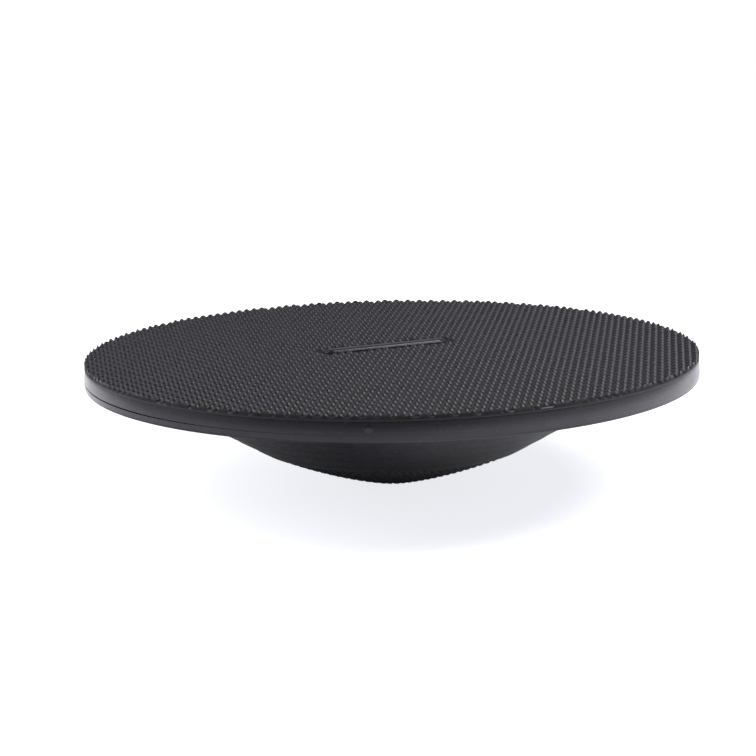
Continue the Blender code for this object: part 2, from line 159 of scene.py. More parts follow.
def moulded_plastic(name):
    """Black moulded plastic: a spark-eroded grain, faint turning streaks round the axis, hand marks
    that change the gloss, and small pale scuffs."""
    material, tree, shader, add = shader_of(name, PLASTIC_COLOUR, PLASTIC_ROUGHNESS)
    shader.inputs["IOR"].default_value = PLASTIC_IOR
    place = add("ShaderNodeTexCoord").outputs["Object"]
    split = add("ShaderNodeSeparateXYZ", {0: place})
    turn = add("ShaderNodeMath", {0: split.outputs["Y"], 1: split.outputs["X"]}, operation="ARCTAN2")
    flat = add("ShaderNodeVectorMath", {0: place}, operation="MULTIPLY")
    flat.inputs[1].default_value = (1, 1, 0)
    radius = add("ShaderNodeVectorMath", {0: flat.outputs[0]}, operation="LENGTH")
    on_ring = {0: turn.outputs[0], 1: split.outputs["Z"], 2: radius.outputs["Value"]}
    unrolled = add("ShaderNodeCombineXYZ", on_ring)
    stretched = add("ShaderNodeVectorMath", {0: unrolled.outputs[0]}, operation="MULTIPLY")
    stretched.inputs[1].default_value = STREAK_STRETCH
    streaks = add("ShaderNodeTexNoise", {"Vector": stretched.outputs[0]}, Scale=1.0, Detail=3.0)
    grain = add("ShaderNodeTexNoise", {"Vector": place}, Scale=GRAIN_SCALE, Detail=2.0)
    marks = add("ShaderNodeTexNoise", {"Vector": place}, Scale=HAND_MARK_SCALE, Detail=5.0, Roughness=0.6)
    gloss = add("ShaderNodeMapRange", {"Value": marks.outputs["Fac"]}, From_Min=0.3, From_Max=0.7,
                To_Min=GLOSS_RANGE[0], To_Max=GLOSS_RANGE[1])
    streaked = add("ShaderNodeMath", {0: streaks.outputs["Fac"], 2: gloss.outputs[0]},
                   operation="MULTIPLY_ADD")
    streaked.inputs[1].default_value = STREAK_DULLING
    tree.links.new(streaked.outputs[0], shader.inputs["Roughness"])
    nicks = add("ShaderNodeTexNoise", {"Vector": place}, Scale=NICK_SCALE, Detail=6.0, Roughness=0.7)
    scuff = add("ShaderNodeMapRange", {"Value": nicks.outputs["Fac"]}, From_Min=NICK_SPAN[0],
                From_Max=NICK_SPAN[1], To_Min=0.0, To_Max=SCUFF_SHARE)
    tint = add("ShaderNodeMix", {"Factor": scuff.outputs[0]}, data_type="RGBA")
    tint.inputs["A"].default_value = (*PLASTIC_COLOUR, 1)
    tint.inputs["B"].default_value = (*SCUFF_COLOUR, 1)
    tree.links.new(tint.outputs["Result"], shader.inputs["Base Color"])
    fine = add("ShaderNodeBump", {"Height": grain.outputs["Fac"]}, Strength=0.10, Distance=GRAIN_RELIEF)
    lines = add("ShaderNodeBump", {"Height": streaks.outputs["Fac"], "Normal": fine.outputs[0]},
                Strength=0.20, Distance=STREAK_RELIEF)
    tree.links.new(lines.outputs[0], shader.inputs["Normal"])
    return material


case_plastic = moulded_plastic("case_plastic")
deck_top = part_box("top_deck")[1].z
sheet_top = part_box("nub_mat")[1].z - NUB_HEIGHT
seam = sheet_top - SEAM_DEPTH
skirt_bottom = seam + SEAM_GAP / 2
skirt_inside = DECK_RADIUS - SKIRT_WALL


def barrel(low, high, steps):
    """Face of the skirt between two heights: the radius falls from RIM_RADIUS at the bottom to
    DECK_RADIUS at the top with the square of the height."""
    share = np.linspace(1, 0, steps)
    radius = RIM_RADIUS - (RIM_RADIUS - DECK_RADIUS) * share**2
    return np.stack([radius, low + (high - low) * share], 1)


deck_profile = np.concatenate([
    [(0, deck_top)],
    arc((DECK_RADIUS - DECK_EDGE, deck_top - DECK_EDGE), DECK_EDGE, 90, 30, 4),
    barrel(skirt_bottom + SEAM_CHAMFER, deck_top - DECK_EDGE, 10),
    [(RIM_RADIUS - SEAM_CHAMFER, skirt_bottom), (skirt_inside, skirt_bottom)],
    [(skirt_inside, deck_top - DECK_PLATE), (0, deck_top - DECK_PLATE)],
])
points, faces = turned_grid(deck_profile, RIM_SEGMENTS)
# At the left end the skirt's lower edge stands up a little, so that the seam gapes there. The lift
# falls away with a power of the cosine of the angle from GAPE_AZIMUTH.
from_gape = np.arctan2(points[:, 1], points[:, 0]) - GAPE_AZIMUTH
lifted = np.clip(np.cos(from_gape), 0, 1) ** GAPE_POWER
at_seam = points[:, 2] < skirt_bottom + 1.5 * SEAM_CHAMFER
points[:, 2] += SEAM_GAPE * lifted * at_seam
deck = piece("deck_cover", points, faces, case_plastic)
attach(deck, "root")
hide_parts("top_deck")


def dome_on_rim(azimuth, height, radius, rise):
    """Grid of a low round dome on the skirt: at distance q from its middle it stands
    rise (1 - (q/radius)^4) proud of the rim, less GATE_SINK, so that its edge dips into the face."""
    share = np.linspace(0, GATE_OVERRUN, GATE_RINGS)
    turn = np.arange(GATE_SIDES) * (2 * np.pi / GATE_SIDES)
    q = np.outer(share, np.ones(GATE_SIDES)) * radius
    stand = RIM_RADIUS + rise * (1 - (q / radius) ** 4) - GATE_SINK
    angle = azimuth + q * np.cos(turn) / RIM_RADIUS
    grid = np.stack([stand * np.cos(angle), stand * np.sin(angle), height + q * np.sin(turn)], 2)
    return grid.reshape(-1, 3), np.arange(q.size).reshape(q.shape)


points, row = dome_on_rim(GATE_AZIMUTH, seam + GATE_OVER_SEAM, GATE_RADIUS, GATE_RISE)
gate = piece("gate_witness", points, grid_faces(row), case_plastic, ROUND_ANGLE,
             [row[-1]])
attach(gate, "root")


# Lower shell. The lower half of the case in the same plastic: the rim's rounded lower edge, a flat
# flange with a well for each rim screw, and a cone whose face falls in shallow ring steps to the
# seat of the grip pad. Moulded in one, with ribs inside that no view shows and that are left out.
RIM_DEPTH = 0.0150
RIM_EDGE = 0.0022
FLANGE_WIDTH = 0.0359
FLANGE_WALL = 0.0030
FLANGE_CORNER_IN = 0.0008
FLANGE_CORNER_OUT = 0.0006
CONE_WALL = 0.0034
STEP_PITCH = 0.0125
STEP_HEIGHT = 0.00022
STEP_RUN = 0.0032
FIRST_STEP = 0.0065
PAD_RADIUS = 0.0880
PAD_EDGE_HEIGHT = 0.0264
PAD_CROWN = 0.0019
PAD_THICKNESS = 0.0046
FOOT_RADIUS = 0.0120
FIT = 0.0003
SEAT_RINGS = 25
SPIGOT_HEIGHT = 0.0034
WELL_RADIUS = 0.0047
WELL_DEPTH = 0.0030
WELL_FLOOR = 0.0025
WELL_SIDES = 40
TOWER_RADIUS = 0.0061
TOWER_SINK = 0.001
SCREW_HOLE = 0.00225
CUT_PAST = 0.002
rim_bottom = sheet_top - RIM_DEPTH
cone_radius = RIM_RADIUS - FLANGE_WIDTH
rim_screws = sorted(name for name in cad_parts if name.startswith("rim_screw"))
hub_screws = sorted(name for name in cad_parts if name.startswith("hub_screw"))


def cone_height(radius):
    """Straight fall of the cone from the flange to the pad's edge."""
    slope = (rim_bottom - PAD_EDGE_HEIGHT) / (cone_radius - PAD_RADIUS)
    return rim_bottom - (cone_radius - radius) * slope


def pad_arc():
    """Middle and radius of the circle that the pad's face follows, through the edge of the foot and
    the edge of the pad, with a bulge of PAD_CROWN between them."""
    foot = np.array([FOOT_RADIUS, 0.0])
    edge = np.array([PAD_RADIUS, PAD_EDGE_HEIGHT])
    chord = edge - foot
    curve = (chord @ chord / 4 + PAD_CROWN**2) / (2 * PAD_CROWN)
    inward = np.array([-chord[1], chord[0]]) / math.hypot(*chord)
    return (foot + edge) / 2 + inward * (curve - PAD_CROWN), curve


def pad_face(radius, inset=0.0):
    """Height of the pad's face, flat over the foot, or of the face that lies inset inside it."""
    middle, curve = pad_arc()
    bend = middle[1] - np.sqrt((curve - inset) ** 2 - (np.maximum(radius, 0) - middle[0]) ** 2)
    return np.maximum(bend, inset)


def screw_place(node):
    """Middle of a screw of the frame, seen from above."""
    low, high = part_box(node)
    return (low.x + high.x) / 2, (low.y + high.y) / 2


def combine(target, points, faces, operation):
    """Joins or cuts a mesh with closed helper shapes, which are then removed."""
    mesh = bpy.data.meshes.new("helper")
    mesh.from_pydata(points.tolist(), [], faces.tolist())
    shape = bmesh.new()
    shape.from_mesh(mesh)
    bmesh.ops.remove_doubles(shape, verts=shape.verts, dist=MERGE_DISTANCE)
    bmesh.ops.recalc_face_normals(shape, faces=shape.faces)
    shape.to_mesh(mesh)
    shape.free()
    helper = bpy.data.objects.new("helper", mesh)
    bpy.context.scene.collection.objects.link(helper)
    step = target.modifiers.new("helper", "BOOLEAN")
    step.operation = operation
    step.object = helper
    bpy.context.view_layer.update()
    evaluated = target.evaluated_get(bpy.context.evaluated_depsgraph_get())
    done = bpy.data.meshes.new_from_object(evaluated)
    target.modifiers.clear()
    target.data = done
    bpy.data.objects.remove(helper)


def copies_at(profile, segments, places):
    """One array of a turned shape repeated at each (x, y) place."""
    points, faces = turned_grid(profile, segments)
    shift = np.array([(x, y, 0.0) for x, y in places])
    many = (points[None] + shift[:, None]).reshape(-1, 3)
    index = faces[None] + (np.arange(len(places)) * len(points))[:, None, None]
    return many, index.reshape(-1, 4)


def stepped_cone():
    """Cone face from the pad up to the flange: each ring step is a rise of STEP_HEIGHT over STEP_RUN,
    drawn as a half wave, on top of the straight fall."""
    starts = np.arange(PAD_RADIUS + FIRST_STEP, cone_radius - STEP_RUN, STEP_PITCH)
    wave = np.linspace(0, 1, 5)
    radius = (starts[:, None] + wave * STEP_RUN).ravel()
    rise = np.tile(-np.cos(np.pi * wave) / 2, len(starts)) * STEP_HEIGHT
    return np.stack([radius, cone_height(radius) + rise], 1)


seat = np.linspace(0, PAD_RADIUS, SEAT_RINGS)
inner_seat = pad_face(seat) + PAD_THICKNESS + FIT
seat_edge = PAD_RADIUS + FIT
corner_in = cone_radius - FLANGE_CORNER_IN
spigot_outside = skirt_inside - FIT
spigot_inside = spigot_outside - FLANGE_WALL
spigot_top = seam + SPIGOT_HEIGHT
rim_top = seam - SEAM_GAP / 2
flange_top = rim_bottom + FLANGE_WALL
shell_profile = np.concatenate([
    np.stack([seat, inner_seat], 1),
    [(seat_edge, inner_seat[-1]), (seat_edge, cone_height(seat_edge))],
    stepped_cone(),
    [(corner_in, cone_height(corner_in)), (cone_radius + FLANGE_CORNER_OUT, rim_bottom)],
    arc((RIM_RADIUS - RIM_EDGE, rim_bottom + RIM_EDGE), RIM_EDGE, -90, 0, 9),
    [(RIM_RADIUS, rim_top - SEAM_CHAMFER), (RIM_RADIUS - SEAM_CHAMFER, rim_top)],
    [(spigot_outside, rim_top), (spigot_outside, spigot_top), (spigot_inside, spigot_top)],
    [(spigot_inside, flange_top), (cone_radius, flange_top)],
    [(PAD_RADIUS, cone_height(PAD_RADIUS) + CONE_WALL + FLANGE_WALL / 2)],
    np.stack([seat, inner_seat + FLANGE_WALL], 1)[-2::-1],
])
points, faces = turned_grid(shell_profile, RIM_SEGMENTS)
shell = piece("lower_case", points, faces, case_plastic)
places = [screw_place(name) for name in rim_screws]
tower_foot = rim_bottom + TOWER_SINK
well_top = rim_bottom + WELL_DEPTH
tower_top = well_top + WELL_FLOOR
tower = [(0, tower_foot), (TOWER_RADIUS, tower_foot), (TOWER_RADIUS, tower_top), (0, tower_top)]
well = [
    (0, rim_bottom - CUT_PAST), (WELL_RADIUS, rim_bottom - CUT_PAST), (WELL_RADIUS, well_top),
    (SCREW_HOLE, well_top), (SCREW_HOLE, tower_top + CUT_PAST), (0, tower_top + CUT_PAST),
]
combine(shell, *copies_at(tower, WELL_SIDES, places), "UNION")
combine(shell, *copies_at(well, WELL_SIDES, places), "DIFFERENCE")
shell.data.shade_smooth()
shell.data.set_sharp_from_angle(angle=math.radians(SHARP_ANGLE))
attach(shell, "root")
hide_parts("lower_shell")


# Screws. Self-tapping pan-head screws of black oxide steel with a cross recess, twelve through the
# flange and four through the tip. Cold headed and thread rolled; each head sits in its well, and the
# thread cuts into a boss of the deck.
HEAD_RADIUS = 0.0040
HEAD_HEIGHT = 0.0024
HEAD_SIDE = 0.0004
HEAD_CORNER = 0.0002
CROWN_DROP = 0.0010
SHANK_RADIUS = 0.00175
SHANK_START = 0.0003
POINT_LENGTH = 0.0015
THREAD_PITCH = 0.0013
THREAD_DEPTH = 0.00022
RECESS_REACH = 0.0021
RECESS_HALF = 0.00042
RECESS_DEPTH = 0.0015
RECESS_SIDE = 0.00012
RECESS_END = 0.0003
RECESS_OVERRUN = 1.15
CROWN_START = 0.0027
SCREW_SIDES = 48
SHANK_RINGS = 60
THREAD_ANGLE = 30
OXIDE_COLOUR = (0.035, 0.035, 0.037)
OXIDE_DARK = (0.028, 0.027, 0.028)
OXIDE_PALE = (0.075, 0.072, 0.070)
OXIDE_ROUGHNESS = 0.38
OXIDE_SHEEN = (0.28, 0.50)
MOTTLE_SCALE = 900.0


def screw_surface(length):
    """Head and shank on one grid of SCREW_SIDES angles, with the origin at the seat and the head
    below it. The crown bends up to the head's side with the fourth power of the radius. The recess
    goes in by RECESS_DEPTH where |x| or |y| is less than the half width of an arm, which narrows from
    1.25 to 0.75 of RECESS_HALF along its reach. The shank's radius swells where its helix angle passes
    half a turn."""
    turn = np.arange(SCREW_SIDES) * (2 * np.pi / SCREW_SIDES)
    recess_rings = np.linspace(0, RECESS_REACH * RECESS_OVERRUN, 10)
    crown_rings = np.linspace(CROWN_START, HEAD_RADIUS, 6)
    r = np.repeat(np.concatenate([recess_rings, crown_rings])[:, None], SCREW_SIDES, 1)
    x = r * np.cos(turn)
    y = r * np.sin(turn)
    slim = RECESS_HALF * (1.25 - 0.5 * r / RECESS_REACH)
    arm = np.minimum(np.abs(x), np.abs(y))
    across = np.clip((slim - arm) / RECESS_SIDE + 0.5, 0, 1)
    inside = across * np.clip((RECESS_REACH - r) / RECESS_END, 0, 1)
    dent = RECESS_DEPTH * inside * (1 - 0.3 * r / RECESS_REACH)
    crown = -HEAD_HEIGHT + CROWN_DROP * (r / HEAD_RADIUS) ** 4 + dent
    rows = [np.stack([x, y, crown], 2)]
    under_head = ((HEAD_RADIUS, -HEAD_SIDE), (HEAD_RADIUS - HEAD_CORNER, 0.0), (SHANK_RADIUS, 0.0))
    for ring, height in under_head:
        level = np.full(SCREW_SIDES, height)
        rows.append(np.stack([ring * np.cos(turn), ring * np.sin(turn), level], 1)[None])
    z = np.linspace(SHANK_START, length, SHANK_RINGS)[:, None] + 0 * turn
    phase = (turn / (2 * np.pi) - z / THREAD_PITCH) % 1
    taper = np.clip((length - z) / POINT_LENGTH, 0.0, 1)
    ridge = THREAD_DEPTH * np.clip(1 - 5 * np.abs(phase - 0.5), 0, 1)
    shank = (SHANK_RADIUS - THREAD_DEPTH + ridge) * taper
    rows.append(np.stack([shank * np.cos(turn), shank * np.sin(turn), z], 2))
    grid = np.concatenate(rows)
    row = np.arange(grid.shape[0] * SCREW_SIDES).reshape(grid.shape[:2])
    return grid.reshape(-1, 3), grid_faces(row)


def black_oxide(name):
    """Blackened steel: a soft sheen with a finely mottled tone and gloss."""
    material, tree, shader, add = shader_of(name, OXIDE_COLOUR, OXIDE_ROUGHNESS)
    shader.inputs["Metallic"].default_value = 1.0
    place = add("ShaderNodeTexCoord").outputs["Object"]
    mottle = add("ShaderNodeTexNoise", {"Vector": place}, Scale=MOTTLE_SCALE, Detail=4.0)
    tone = add("ShaderNodeMix", {"Factor": mottle.outputs["Fac"]}, data_type="RGBA")
    tone.inputs["A"].default_value = (*OXIDE_DARK, 1)
    tone.inputs["B"].default_value = (*OXIDE_PALE, 1)
    tree.links.new(tone.outputs["Result"], shader.inputs["Base Color"])
    sheen = add("ShaderNodeMapRange", {"Value": mottle.outputs["Fac"]}, To_Min=OXIDE_SHEEN[0],
                To_Max=OXIDE_SHEEN[1])
    tree.links.new(sheen.outputs[0], shader.inputs["Roughness"])
    return material


screw_steel = black_oxide("screw_steel")
for node in rim_screws + hub_screws:
    low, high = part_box(node)
    points, faces = screw_surface(high.z - low.z - HEAD_HEIGHT)
    points += (*screw_place(node), low.z + HEAD_HEIGHT)
    screw = piece(node.replace("screw", "fastener"), points, faces, screw_steel,
                  THREAD_ANGLE)
    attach(screw, "root")
    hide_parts(node)


# Grip pad. A crowned cap of black rubber bonded over the tip of the cone, compression moulded with
# the same nubs as the mat. The nubs' tips carry the board; at the very tip they end in one small
# level foot.
PAD_SEGMENTS = 240
PAD_RINGS = 33
PAD_SKIN_INSET = 0.0012
PAD_LIP = 0.0014
PAD_NUB_MARGIN = 0.0020
LATTICE_A = np.array([0.00495, 0.00407])
LATTICE_B = np.array([0.00369, -0.00548])
LATTICE_REACH = 90
NUB_SIDES = 10
NUB_SHARP_ANGLE = 50
NUB_RINGS = np.array([
    (0.00315, -0.00150),
    (0.00303, 0.00002),
    (0.00242, 0.00072),
    (0.00188, 0.00131),
    (0.00136, 0.00184),
    (0.00050, 0.00220),
])
# The pad's colour is lighter than the mat's rubber, as painted light that makes up for the shaded floor
# beneath it.
PAD_PAINTED_LIGHT_COLOUR = (0.0360, 0.0355, 0.0450)
PAD_ROUGHNESS = (0.42, 0.62)
PAD_WEAR = 0.12
PAD_IOR = 1.66
RUBBER_IOR = 1.5
TONE_SPAN = (0.2, 1.7)
DARK_TONE = 0.72
PALE_TONE = 1.45
# Painted shade in the nubs' hollows: below the first of the next two rises a nub keeps only the hollow
# share of its colour, above the second all of it.
PAINTED_SHADE_TOP = 0.25
PAINTED_SHADE_END = 0.90
PORE_SCALE = 2600.0
PORE_RELIEF = 0.00006
BLOOM_SCALE = 34.0


def nub_places(reach):
    """Points n A + m B of the nubs' lattice within a circle."""
    count = np.arange(-LATTICE_REACH, LATTICE_REACH + 1)
    n, m = np.meshgrid(count, count)
    places = n.reshape(-1, 1) * LATTICE_A + m.reshape(-1, 1) * LATTICE_B
    return places[np.hypot(*places.T) < reach]


def nub_field(feet, normals):
    """Every nub is a turned dome: ring k lies at radius and height k of NUB_RINGS, in the plane square
    to its normal. One array holds all nubs, each closed by a face at the top and one below."""
    turn = np.arange(NUB_SIDES) * (2 * np.pi / NUB_SIDES)
    side = np.cross(normals, (0.0, 1.0, 0.0))
    side /= np.linalg.norm(side, axis=1, keepdims=True)
    other = np.cross(normals, side)
    rho = NUB_RINGS[:, 0][None, :, None, None]
    rise = NUB_RINGS[:, 1][None, :, None, None]
    spoke = side[:, None, None] * np.cos(turn)[:, None] + other[:, None, None] * np.sin(turn)[:, None]
    points = feet[:, None, None] + rho * spoke + rise * normals[:, None, None]
    row = np.arange(len(NUB_RINGS) * NUB_SIDES).reshape(len(NUB_RINGS), NUB_SIDES)
    start = np.arange(len(feet)) * len(NUB_RINGS) * NUB_SIDES
    faces = (grid_faces(row)[None] + start[:, None, None]).reshape(-1, 4).tolist()
    faces += (row[-1][None] + start[:, None]).tolist()
    faces += (row[0][::-1][None] + start[:, None]).tolist()
    return points.reshape(-1, 3), faces


def nub_piece(name, feet, normals, material, limit):
    """Links a field of nubs with two attributes: a tone that is the same all over each nub, and the
    rise of each point, from 0 at the foot to 1 at the top. Points beyond the limit radius are drawn in
    to it, as a knife leaves them."""
    points, faces = nub_field(feet, normals)
    reach = np.hypot(points[:, 0], points[:, 1])
    points[:, :2] *= np.minimum(1, limit / reach)[:, None]
    mesh = bpy.data.meshes.new(name)
    mesh.from_pydata(points.tolist(), [], faces)
    mesh.shade_smooth()
    mesh.set_sharp_from_angle(angle=math.radians(NUB_SHARP_ANGLE))
    tones = np.random.default_rng(len(feet)).random(len(feet))
    tone = np.repeat(tones, len(NUB_RINGS) * NUB_SIDES).astype(np.float32)
    mesh.attributes.new("nub_tone", "FLOAT", "POINT").data.foreach_set("value", tone)
    ring_rise = np.repeat(np.clip(NUB_RINGS[:, 1] / NUB_HEIGHT, 0, 1), NUB_SIDES)
    rise = np.tile(ring_rise, len(feet)).astype(np.float32)
    mesh.attributes.new("nub_rise", "FLOAT", "POINT").data.foreach_set("value", rise)
    mesh.materials.append(material)
    made = bpy.data.objects.new(name, mesh)
    bpy.context.scene.collection.objects.link(made)
    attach(made, "root")


def moulded_rubber(name, colour, roughness, shaded_hollow_share=1.0, wear=0.0, ior=RUBBER_IOR):
    """Black rubber, with a roughness that varies between two values: each nub has its own tone, use
    has polished the tips by the roughness wear, painted shade darkens the hollows between them to a
    given share of the colour, a fine pore grain breaks the shine, and a little grey dust lies about."""
    smooth, dull = roughness
    tone_low, tone_high = TONE_SPAN
    material, tree, shader, add = shader_of(name, colour, dull)
    shader.inputs["IOR"].default_value = ior
    place = add("ShaderNodeTexCoord").outputs["Object"]
    tone = add("ShaderNodeAttribute", attribute_name="nub_tone")
    pores = add("ShaderNodeTexNoise", {"Vector": place}, Scale=PORE_SCALE, Detail=3.0)
    bloom = add("ShaderNodeTexNoise", {"Vector": place}, Scale=BLOOM_SCALE, Detail=5.0, Roughness=0.62)
    mixed = add("ShaderNodeMath", {0: tone.outputs["Fac"], 1: bloom.outputs["Fac"]}, operation="ADD")
    level = add("ShaderNodeMapRange", {"Value": mixed.outputs[0]}, From_Min=tone_low, From_Max=tone_high)
    tint = add("ShaderNodeMix", {"Factor": level.outputs[0]}, data_type="RGBA")
    tint.inputs["A"].default_value = (*(DARK_TONE * part for part in colour), 1)
    tint.inputs["B"].default_value = (*(PALE_TONE * part for part in colour), 1)
    rise = add("ShaderNodeAttribute", attribute_name="nub_rise")
    # Painted shade: towards the feet of the nubs the colour is cut to the hollow share.
    shade_kept = add("ShaderNodeMapRange", {"Value": rise.outputs["Fac"]}, From_Min=PAINTED_SHADE_TOP,
               From_Max=PAINTED_SHADE_END, To_Min=shaded_hollow_share, To_Max=1.0)
    painted_shade_tint = add("ShaderNodeVectorMath", {0: tint.outputs["Result"], "Scale": shade_kept.outputs[0]},
               operation="SCALE")
    tree.links.new(painted_shade_tint.outputs[0], shader.inputs["Base Color"])
    polish = add("ShaderNodeMapRange", {"Value": mixed.outputs[0]}, From_Min=tone_low,
                 From_Max=tone_high, To_Min=smooth, To_Max=dull)
    worn = add("ShaderNodeMath", {0: rise.outputs["Fac"], 2: polish.outputs[0]}, operation="MULTIPLY_ADD")
    worn.inputs[1].default_value = -wear
    tree.links.new(worn.outputs[0], shader.inputs["Roughness"])
    skin = add("ShaderNodeBump", {"Height": pores.outputs["Fac"]}, Strength=0.25, Distance=PORE_RELIEF)
    tree.links.new(skin.outputs[0], shader.inputs["Normal"])
    return material


pad_rubber = moulded_rubber("pad_rubber", PAD_PAINTED_LIGHT_COLOUR, PAD_ROUGHNESS, wear=PAD_WEAR, ior=PAD_IOR)
pad_r = np.linspace(0, PAD_RADIUS - PAD_SKIN_INSET, PAD_RINGS)
outer = np.stack([pad_r, pad_face(pad_r, NUB_HEIGHT)], 1)
inner = np.stack([seat, pad_face(seat) + PAD_THICKNESS], 1)[::-1]
pad_profile = np.concatenate([outer, [(PAD_RADIUS, outer[-1, 1] + PAD_LIP)], inner])
points, faces = turned_grid(pad_profile, PAD_SEGMENTS)
pad = piece("pad_skin", points, faces, pad_rubber)
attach(pad, "root")
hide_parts("grip_pad")

spots = nub_places(PAD_RADIUS - PAD_NUB_MARGIN)
spot_radius = np.hypot(*spots.T)
middle, curve = pad_arc()
lean = np.where(pad_face(spot_radius) > 0, (spot_radius - middle[0]) / curve, 0.0)
outward = np.stack([
    lean * spots[:, 0] / np.maximum(spot_radius, 1e-9),
    lean * spots[:, 1] / np.maximum(spot_radius, 1e-9),
    -np.sqrt(1 - lean**2),
], 1)
tips = np.column_stack([spots, pad_face(spot_radius)])
nub_piece("pad_nubs", tips - NUB_HEIGHT * outward, outward, pad_rubber, PAD_RADIUS)


# Standing mat, sheet and plaque. A sheet of black soft rubber with a rounded shoulder, bonded to the
# deck and flush with its edge. In the middle, in a strip that has no nubs, lies a long smooth plaque
# with a plain raised bar on it, moulded in one with the sheet.
MAT_RADIUS = 0.1994
SHEET_EDGE = 0.0014
BOND_LINE = 0.00004
MAT_SEGMENTS = 720
PLAQUE_LENGTH = 0.088
PLAQUE_WIDTH = 0.0125
PLAQUE_MIDDLE = np.array([-0.0045, 0.0178])
PLAQUE_ANGLE = math.radians(24)
END_STEPS = 14

# Each step of the plaque gives how far its outline lies inside the edge, and its height on the sheet.
PLAQUE_STEPS = [
    (0.0, -0.0003), (0.0, 0.0009), (0.00016, 0.00122), (0.0005, 0.0014), (0.0013, 0.0014),
    (0.0016, 0.00126), (0.0018, 0.0011), (0.0023, 0.0011), (0.0025, 0.0014), (0.0028, 0.0017),
    (0.0032, 0.0019), (0.0038, 0.0020), (0.0055, 0.0020),
]

RUBBER_COLOUR = (0.0190, 0.0188, 0.0275)
SHEET_ROUGHNESS = (0.44, 0.60)
PLAQUE_ROUGHNESS = (0.30, 0.42)
plaque_reach = (PLAQUE_LENGTH - PLAQUE_WIDTH) / 2
plaque_way = np.array([math.cos(PLAQUE_ANGLE), math.sin(PLAQUE_ANGLE)])


def capsule(half_width):
    """Outline of a bar with round ends: two half circles of half_width about points at plus and
    minus plaque_reach, turned and moved to the plaque's place."""
    bend = np.linspace(-np.pi / 2, np.pi / 2, END_STEPS)
    end = np.stack([plaque_reach + half_width * np.cos(bend), half_width * np.sin(bend)], 1)
    outline = np.concatenate([end, -end])
    spin = np.array([plaque_way, (-plaque_way[1], plaque_way[0])])
    return outline @ spin + PLAQUE_MIDDLE


sheet_rubber = moulded_rubber("sheet_rubber", RUBBER_COLOUR, SHEET_ROUGHNESS)
sheet_profile = np.concatenate([
    [(0, sheet_top)],
    arc((MAT_RADIUS - SHEET_EDGE, sheet_top - SHEET_EDGE), SHEET_EDGE, 90, 0, 7),
    [(MAT_RADIUS, deck_top + BOND_LINE), (0, deck_top + BOND_LINE)],
])
points, faces = turned_grid(sheet_profile, MAT_SEGMENTS)
sheet = piece("mat_sheet", points, faces, sheet_rubber, ROUND_ANGLE)
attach(sheet, "root")
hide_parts("nub_mat")

plaque_rubber = moulded_rubber("plaque_rubber", RUBBER_COLOUR, PLAQUE_ROUGHNESS)
rings = np.stack([
    np.column_stack([capsule(PLAQUE_WIDTH / 2 - inset), np.full(2 * END_STEPS, sheet_top + rise)])
    for inset, rise in PLAQUE_STEPS
])
row = np.arange(rings.shape[0] * rings.shape[1]).reshape(rings.shape[:2])
plaque = piece("mat_plaque", rings.reshape(-1, 3), grid_faces(row), plaque_rubber,
               ROUND_ANGLE, [row[0], row[-1]])
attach(plaque, "root")


# Standing mat, nubs. Round nubs of one height, moulded in one with the sheet in slanted rows. The
# knife that cuts the mat's edge goes straight through those in its way. Use polishes their tips,
# the hollows between them stay dull, and painted shade darkens the nubs towards their feet.
NUB_REACH = 0.0028
KNIFE_INSET = 0.00003
STRIP_CLEAR = 0.0106
# The nubs' colour is lighter than the sheet's; painted shade darkens it towards the nubs' feet, down to
# the share given below.
TIP_COLOUR = (0.0330, 0.0327, 0.0480)
NUB_ROUGHNESS = (0.62, 0.76)
NUB_PAINTED_SHADE_SHARE = 0.04
NUB_WEAR = 0.41

mat_rubber = moulded_rubber("mat_rubber", TIP_COLOUR, NUB_ROUGHNESS, NUB_PAINTED_SHADE_SHARE, NUB_WEAR)
spots = nub_places(MAT_RADIUS + NUB_REACH)
from_plaque = spots - PLAQUE_MIDDLE
along = np.clip(from_plaque @ plaque_way, -plaque_reach, plaque_reach)
off_plaque = np.linalg.norm(from_plaque - along[:, None] * plaque_way, axis=1)
spots = spots[off_plaque > STRIP_CLEAR]
quarter = (spots[:, 0] > 0).astype(int) + 2 * (spots[:, 1] > 0)
for number, label in enumerate(("front_left", "front_right", "back_left", "back_right")):
    chosen = spots[quarter == number]
    feet = np.column_stack([chosen, np.full(len(chosen), sheet_top)])
    upright = np.tile((0.0, 0.0, 1.0), (len(chosen), 1))
    nub_piece(f"mat_nubs_{label}", feet, upright, mat_rubber, MAT_RADIUS - KNIFE_INSET)


# Floor and light. A pale round table top, a soft white sky, a large softbox high on the right and
# a weaker one on the left. To the camera the table is plain white, and the board's shadow stays on
# it. In reflections the table glows with painted light, brightest on the right, where the key light
# falls, and a painted shadow darkens that glow under the board.
FLOOR_REACH = 0.95
FLOOR_SIDES = 96
FLOOR_COLOUR = (0.78, 0.785, 0.82)
GLOW_COLOUR = (0.95, 0.955, 1.0)
CAMERA_GLOW = 0.84

# A span holds two places, in metres on the floor and as a share of the direction in the sky. The
# pair after it holds the strengths at those two places.
RIGHT_SPAN = (0.0, 0.40)
RIGHT_GLOW = (0.10, 1.00)
LEFT_SPAN = (-0.45, -0.10)
LEFT_GLOW = (0.38, 0.0)
BACK_SPAN = (-0.05, 0.20)
BACK_GLOW = (0.0, 1.00)
